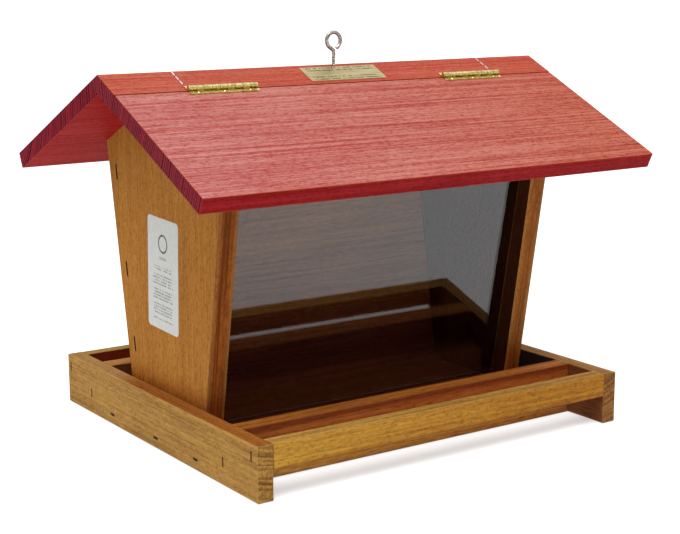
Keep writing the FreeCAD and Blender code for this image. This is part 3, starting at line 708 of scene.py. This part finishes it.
def ease_edges(node_name, width, corners):
    """Round the long outer edges of a board: a weld and a planar clean-up first, because the
    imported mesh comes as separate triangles, and then a bevel of the edges between corners."""
    board = nodes[node_name]
    group = board.vertex_groups.new(name="outer_corners")
    picked = [v.index for v in board.data.vertices if corners(v.co)]
    group.add(picked, 1.0, "REPLACE")
    weld = board.modifiers.new("weld", "WELD")
    weld.merge_threshold = WELD_DISTANCE
    clean = board.modifiers.new("clean", "DECIMATE")
    clean.decimate_type = "DISSOLVE"
    clean.angle_limit = math.radians(1.0)
    ease = board.modifiers.new("ease", "BEVEL")
    ease.limit_method = "VGROUP"
    ease.vertex_group = group.name
    ease.width = width
    ease.segments = 3
    ease.use_clamp_overlap = False


def box_corner_test(node_name, axes):
    """True for the eight outer corners of a board."""
    middle, turn, half = board_frame(node_name, axes)
    inverse = turn.to_matrix().transposed()

    def is_corner(point):
        local = inverse @ (point - middle)
        return all(abs(abs(local[i]) - half[i]) < SAME_PLACE for i in range(3))
    return is_corner


def outer_top_test(node_name, side):
    """True for the two ends of a perch rail's upper edge on the outer side."""
    low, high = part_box(node_name)
    outer = low.y if side < 0 else high.y

    def is_end(point):
        return abs(point.y - outer) < SAME_PLACE and abs(point.z - high.z) < SAME_PLACE
    return is_end


def ease_boards():
    for name in ("left_side_board", "right_side_board"):
        ease_edges(name, BOARD_EASE, box_corner_test(name, ALONG_Y))
    for name in ("front_inner_rail", "rear_inner_rail"):
        ease_edges(name, RAIL_EASE, box_corner_test(name, ALONG_X))
    for name, side in (("front_perch_rail", -1), ("rear_perch_rail", 1)):
        ease_edges(name, PERCH_EASE, outer_top_test(name, side))
    ease_edges("roof_lid", BOARD_EASE, box_corner_test("roof_lid", slope_axes(PITCH)))


# ---------------------------------------------------------------------------------------------
# Clear pane, metals, plate and label
# ---------------------------------------------------------------------------------------------
PANE_TINT = (0.88, 0.88, 0.89, 1.0)
PANE_EDGE_SHADE = (0.020, 0.018, 0.016, 1.0)
PANE_SHADOW = (0.80, 0.80, 0.80, 1.0)
PANE_EDGE_ROUGHNESS = 0.35
PANE_HAZE = 0.006


def dress_pane():
    """Clear sheet, a little dulled by age.  Its narrow edges are opaque and painted near black as
    shade.  It lets light through to the inside."""
    material, t, shader = new_material("clear_sheet", IOR=1.49)
    coords = t.add("ShaderNodeTexCoord").outputs
    across = (0.0, math.cos(PANE_LEAN), math.sin(PANE_LEAN))
    facing = t.math("ABSOLUTE", t.vector("DOT_PRODUCT", coords["Normal"], across))
    broad = t.step(facing, 0.5, 0.8)
    t.feed(shader.inputs["Transmission Weight"], broad)
    # the narrow edges are opaque and painted near black as shade
    t.feed(shader.inputs["Base Color"], t.mix(broad, PANE_EDGE_SHADE, PANE_TINT))
    haze = t.line(t.noise(coords["Object"], 60.0, 3.0, 0.6), 0.3, 0.7, 0.0, PANE_HAZE)
    t.feed(shader.inputs["Roughness"], t.blend(broad, PANE_EDGE_ROUGHNESS, haze))
    wave = t.noise(coords["Object"], 7.0, 0.0, 0.5)
    t.feed(shader.inputs["Normal"], t.bump(wave, 0.02, 0.0003))
    clear = t.add("ShaderNodeBsdfTransparent", {"Color": PANE_SHADOW})
    ray = t.add("ShaderNodeLightPath").outputs["Is Shadow Ray"]
    both = t.add("ShaderNodeMixShader", {0: ray, 1: shader.outputs[0], 2: clear.outputs[0]})
    output = material.node_tree.nodes["Material Output"]
    t.feed(output.inputs["Surface"], both.outputs[0])
    dress("front_pane", material)


BRASS = ((0.71, 0.62, 0.25), (0.41, 0.285, 0.078))
ZINC = ((0.80, 0.81, 0.83), (0.45, 0.45, 0.46))
RUST = ((0.035, 0.024, 0.018), (0.012, 0.008, 0.005))
EYE_STEEL = ((0.50, 0.47, 0.43), (0.17, 0.14, 0.11))
PIT_DEPTH = 0.00005


def metal(name, tones, rough, scale=400.0):
    """A metal with tarnish, small pits and uneven gloss.  tones are its bright and dull colours,
    rough its lowest and highest roughness, and scale how fine the tarnish is."""
    material, t, shader = new_material(name, Metallic=1.0)
    coords = t.add("ShaderNodeTexCoord").outputs["Object"]
    tarnish = t.step(t.noise(coords, scale, 4.0, 0.62), 0.38, 0.68)
    t.feed(shader.inputs["Base Color"], t.mix(tarnish, *tones))
    fine = t.noise(coords, scale * 6.0, 2.0, 0.5)
    t.feed(shader.inputs["Roughness"], t.line(fine, 0.25, 0.75, *rough))
    t.feed(shader.inputs["Normal"], t.bump(t.math("ADD", fine, tarnish), 0.15, PIT_DEPTH))
    return material


def dress_metals():
    brass = metal("hinge_brass_skin", BRASS, (0.20, 0.40))
    for name in nodes:
        if "hinge" in name:
            dress(name, brass)
    zinc = metal("staple_zinc", ZINC, (0.25, 0.45))
    rusted = metal("staple_rust", RUST, (0.4, 0.6))
    for name in nodes:
        if name.endswith("staples"):
            dress(name, zinc if name == "ridge_staples" else rusted)


RIDGE_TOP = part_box("ridge_strip")[1].z
PRINT_RELIEF = 0.00005
PAPER_RELIEF = 0.00004


def slope_coords(t):
    """Coordinates on the front slope from the apex: X along the ridge and Y up the slope."""
    coords = t.add("ShaderNodeTexCoord").outputs["Object"]
    local = t.add("ShaderNodeMapping", {"Vector": coords, "Location": (0.0, 0.0, RIDGE_TOP),
                                        "Rotation": (PITCH, 0.0, 0.0)}, vector_type="TEXTURE")
    return local.outputs[0]


def within(t, value, limit):
    """Where a value is no further from zero than the limit."""
    return t.math("LESS_THAN", t.math("ABSOLUTE", value), limit)


def dash_rows(t, along, across, pitch, thick, word, seed):
    """Rows of short bars and gaps that stand for small print and say nothing.  pitch is the
    distance between rows, thick a bar's share of it and word the length of a bar."""
    row_count = t.math("DIVIDE", across, pitch)
    row = t.math("FLOOR", row_count)
    in_row = within(t, t.math("SUBTRACT", t.math("FRACT", row_count), 0.5), thick / 2)
    spot = t.math("FLOOR", t.math("DIVIDE", along, word))
    grain = t.add("ShaderNodeTexWhiteNoise", {"Vector": t.join(spot, row, seed)}).outputs[0]
    return t.math("MULTIPLY", in_row, t.step(grain, 0.15, 0.35)), row


PLATE_LOW, PLATE_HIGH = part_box("ridge_plate")
PLATE_MIDDLE = (PLATE_LOW.y + PLATE_HIGH.y) / 2 / math.cos(PITCH)
FOIL = ((0.43, 0.355, 0.17), (0.32, 0.255, 0.11))
FOIL_INK = (0.10, 0.08, 0.035)
FOIL_ROW = 0.0034
FOIL_WORD = 0.0013
FOIL_ROWS = (0.0034, 0.0102)
FOIL_ROW_END = 0.031


def dress_plate():
    """A pale gold foil plate with rows of plain bars along both long edges."""
    material, t, shader = new_material("gold_foil", Metallic=0.75)
    local = slope_coords(t)
    along, upward = t.split(local)[:2]
    brushed = t.noise(t.vector("MULTIPLY", local, (60.0, 1500.0, 1500.0)), 1.0, 2.0, 0.5)
    base = t.mix(t.step(brushed, 0.3, 0.7), *FOIL)
    up = t.math("SUBTRACT", upward, PLATE_MIDDLE)
    bars = dash_rows(t, along, up, FOIL_ROW, 0.50, FOIL_WORD, 4.0)[0]
    first, last = FOIL_ROWS
    outer = t.math("GREATER_THAN", t.math("ABSOLUTE", up), first)
    rows = t.math("MULTIPLY", outer, within(t, up, last))
    ink = t.math("MULTIPLY", bars, t.math("MULTIPLY", within(t, along, FOIL_ROW_END), rows))
    t.feed(shader.inputs["Base Color"], t.mix(t.math("MULTIPLY", ink, 0.85), base, FOIL_INK))
    t.feed(shader.inputs["Roughness"], t.line(brushed, 0.3, 0.7, 0.3, 0.48))
    t.feed(shader.inputs["Normal"], t.bump(t.math("SUBTRACT", brushed, ink), 0.2, PRINT_RELIEF))
    dress("ridge_plate", material)


LABEL_LOW, LABEL_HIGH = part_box("wall_label")
LABEL_MIDDLE = (LABEL_LOW + LABEL_HIGH) / 2
PAPER = ((0.50, 0.51, 0.48), (0.455, 0.465, 0.44))
PRINT_GREY = (0.13, 0.15, 0.14)
RING_INK = (0.03, 0.055, 0.050)
PRINT_ROW = 0.0023
PRINT_WORD = 0.0011
PRINT_LOW = -0.0368
PRINT_HIGH = 0.0058
PRINT_GROUP = 5
PRINT_HALF_WIDTH = (0.013, 0.0185)
RING_UP = 0.024
RING_RADIUS = 0.0066
RING_HALF_WIDTH = 0.0008
BAR_UP = 0.0125
BAR_HALF = (0.0055, 0.0012)


def label_bars(t, across, upward):
    """Rows of bars in groups, with uneven row ends."""
    bars, row = dash_rows(t, across, upward, PRINT_ROW, 0.55, PRINT_WORD, 9.0)
    grain = t.add("ShaderNodeTexWhiteNoise", {"Vector": t.join(row, 3.0, 1.0)}).outputs[0]
    width = t.line(grain, 0.0, 1.0, *PRINT_HALF_WIDTH)
    bars = t.math("MULTIPLY", bars, within(t, across, width))
    in_group = t.math("FRACT", t.math("DIVIDE", t.math("ADD", row, 0.5), PRINT_GROUP))
    bars = t.math("MULTIPLY", bars, t.math("GREATER_THAN", in_group, 1.0 / PRINT_GROUP))
    low = t.math("GREATER_THAN", upward, PRINT_LOW)
    high = t.math("LESS_THAN", upward, PRINT_HIGH)
    return t.math("MULTIPLY", bars, t.math("MULTIPLY", low, high))


def dress_label():
    """A white paper label: a plain ring at its head and rows of plain bars below it."""
    material, t, shader = new_material("paper_label", Specular_IOR_Level=0.35)
    coords = t.add("ShaderNodeTexCoord").outputs["Object"]
    local = t.add("ShaderNodeMapping", {"Vector": coords, "Location": LABEL_MIDDLE,
                                        "Rotation": (LABEL_TURN, 0.0, 0.0)},
                  vector_type="TEXTURE").outputs[0]
    across, upward = t.split(local)[1:3]
    paper = t.noise(local, 260.0, 3.0, 0.6)
    base = t.mix(t.step(paper, 0.3, 0.7), *PAPER)
    ring_away = t.vector("LENGTH", t.join(across, t.math("SUBTRACT", upward, RING_UP)))
    ring = within(t, t.math("SUBTRACT", ring_away, RING_RADIUS), RING_HALF_WIDTH)
    bar = t.math("MULTIPLY", within(t, t.math("SUBTRACT", upward, BAR_UP), BAR_HALF[1]),
                 within(t, across, BAR_HALF[0]))
    bars = label_bars(t, across, upward)
    shade = t.mix(t.math("MULTIPLY", bars, 0.72), base, PRINT_GREY)
    shade = t.mix(t.math("MULTIPLY", bar, 0.45), shade, PRINT_GREY)
    shade = t.mix(t.math("MULTIPLY", ring, 0.95), shade, RING_INK)
    t.feed(shader.inputs["Base Color"], shade)
    t.feed(shader.inputs["Roughness"], t.line(paper, 0.3, 0.7, 0.42, 0.55))
    t.feed(shader.inputs["Normal"], t.bump(paper, 0.1, PAPER_RELIEF))
    dress("wall_label", material)


# ---------------------------------------------------------------------------------------------
# Screw eye: one bent wire with a cut thread
# ---------------------------------------------------------------------------------------------
WIRE_SIDES = 28
THREAD_ABOVE_RIDGE = 0.0052
THREAD_ROOT = 0.0011
THREAD_PITCH = 0.0016
THREAD_TIP = 0.003
LEVELS_PER_TURN = 14
NECK_IN_WIRES = 1.25
NECK_PULL = 0.0032
RING_PULL = 0.0045
RING_START = math.radians(36.0)
RING_END = math.radians(337.0)
SHANK_STEPS = 6
BEND_STEPS = 12
RING_STEPS = 72


def close_tube(mesh, rings):
    """Walls between the rings of vertices, and a face on each end."""
    for lower, upper in zip(rings, rings[1:]):
        for step in range(WIRE_SIDES):
            after = (step + 1) % WIRE_SIDES
            mesh.faces.new((lower[step], lower[after], upper[after], upper[step]))
    mesh.faces.new(rings[0][::-1])
    mesh.faces.new(rings[-1])


def sweep(mesh, path, radii):
    """A round tube of the given radii along a path, closed at both ends."""
    rings = []
    side = Y_WAY.copy()
    for index, point in enumerate(path):
        ahead = path[min(index + 1, len(path) - 1)] - path[max(index - 1, 0)]
        ahead.normalize()
        across = ahead.cross(side).normalized()
        ring = []
        for step in range(WIRE_SIDES):
            angle = 2.0 * math.pi * step / WIRE_SIDES
            out = across * math.cos(angle) + side * math.sin(angle)
            ring.append(mesh.verts.new(point + out * radii[index]))
        rings.append(ring)
    close_tube(mesh, rings)


def threaded_rod(mesh, bottom, top, root, crest, pitch, tip):
    """The cut part of the shank: one helical ridge from root to crest, which fades into the
    plain wire in its last turn and narrows to a point over the tip."""
    levels = int((top - bottom) / pitch * LEVELS_PER_TURN)
    rings = []
    for level in range(levels + 1):
        z = bottom + (top - bottom) * level / levels
        ring = []
        for step in range(WIRE_SIDES):
            turn = step / WIRE_SIDES
            phase = (z / pitch - turn) % 1.0
            ridge = max(0.0, 1.0 - abs(phase - 0.5) / 0.28)
            fade = min(1.0, (top - z) / pitch)
            radius = root + (crest - root) * min(1.0, ridge * 1.25) * max(fade, 0.0)
            radius = max(radius, crest * max(0.0, 1.0 - fade))
            radius *= min(1.0, 0.12 + (z - bottom) / tip)
            angle = 2.0 * math.pi * turn
            ring.append(mesh.verts.new((radius * math.cos(angle), radius * math.sin(angle), z)))
        rings.append(ring)
    close_tube(mesh, rings)


def build_screw_eye():
    """A wire that leaves the ridge, bends out of line and closes to a ring, over a cut thread."""
    low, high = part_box("screw_eye")
    wire = (high.y - low.y) / 2
    ring_radius = (high.x - low.x) / 2 - wire
    centre = high.z - wire - ring_radius
    thread_top = RIDGE_TOP + THREAD_ABOVE_RIDGE
    neck = centre - ring_radius - NECK_IN_WIRES * wire

    def on_ring(angle):
        return Vector((-ring_radius * math.sin(angle), 0.0, centre - ring_radius * math.cos(angle)))

    path = []
    for i in range(SHANK_STEPS):
        path.append(Vector((0.0, 0.0, thread_top + (neck - thread_top) * i / SHANK_STEPS)))
    start, finish = Vector((0.0, 0.0, neck)), on_ring(RING_START)
    start_pull = Z_WAY * NECK_PULL
    finish_pull = Vector((-math.cos(RING_START), 0.0, math.sin(RING_START))) * RING_PULL
    for i in range(BEND_STEPS):
        s = i / BEND_STEPS
        path.append(start * (2 * s ** 3 - 3 * s ** 2 + 1) + start_pull * (s ** 3 - 2 * s ** 2 + s)
                    + finish * (3 * s ** 2 - 2 * s ** 3) + finish_pull * (s ** 3 - s ** 2))
    for i in range(RING_STEPS + 1):
        path.append(on_ring(RING_START + (RING_END - RING_START) * i / RING_STEPS))
    radii = [wire] * (len(path) - 2) + [wire * 0.97, wire * 0.86]
    mesh = bmesh.new()
    sweep(mesh, path, radii)
    threaded_rod(mesh, low.z, thread_top, THREAD_ROOT, wire, THREAD_PITCH, THREAD_TIP)
    bmesh.ops.recalc_face_normals(mesh, faces=mesh.faces)
    data = bpy.data.meshes.new("bent_screw_eye")
    mesh.to_mesh(data)
    mesh.free()
    for face in data.polygons:
        face.use_smooth = len(face.vertices) == 4
    eye = bpy.data.objects.new("bent_screw_eye", data)
    scene.collection.objects.link(eye)
    data.materials.append(metal("eye_steel_skin", EYE_STEEL, (0.22, 0.45), scale=260.0))
    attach(eye, "feeder")
    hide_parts("screw_eye")


# ---------------------------------------------------------------------------------------------
# Floor
# ---------------------------------------------------------------------------------------------
FLOOR_RADIUS = 60.0
FLOOR_DROP = 0.0004
FLOOR_GREYS = ((0.52, 0.52, 0.52), (0.54, 0.54, 0.54))
FLOOR_GLOW = 0.50


def build_floor():
    """A plain pale studio floor, just under the feeder, that glows a little to soften the
    shadow."""
    mesh = bmesh.new()
    bmesh.ops.create_circle(mesh, cap_ends=True, segments=96, radius=FLOOR_RADIUS)
    data = bpy.data.meshes.new("studio_floor")
    mesh.to_mesh(data)
    mesh.free()
    floor = bpy.data.objects.new("studio_floor", data)
    floor.location = (0.0, 0.0, -FLOOR_DROP)
    scene.collection.objects.link(floor)
    material, t, shader = new_material("pale_floor", Specular_IOR_Level=0.0, Roughness=0.9,
                                       Emission_Strength=FLOOR_GLOW)
    shader.inputs["Emission Color"].default_value = (1.0, 1.0, 1.0, 1.0)
    coords = t.add("ShaderNodeTexCoord").outputs["Object"]
    mottle = t.noise(coords, 3.0, 3.0, 0.5)
    t.feed(shader.inputs["Base Color"], t.mix(mottle, *FLOOR_GREYS))
    data.materials.append(material)


# ---------------------------------------------------------------------------------------------
# Everything, in order
# ---------------------------------------------------------------------------------------------
add_camera()
add_lights()
build_floor()
dress_tray()
dress_hopper()
dress_roof()
ease_boards()
dress_pane()
dress_metals()
dress_plate()
dress_label()
build_screw_eye()
scene.view_settings.view_transform = "Standard"
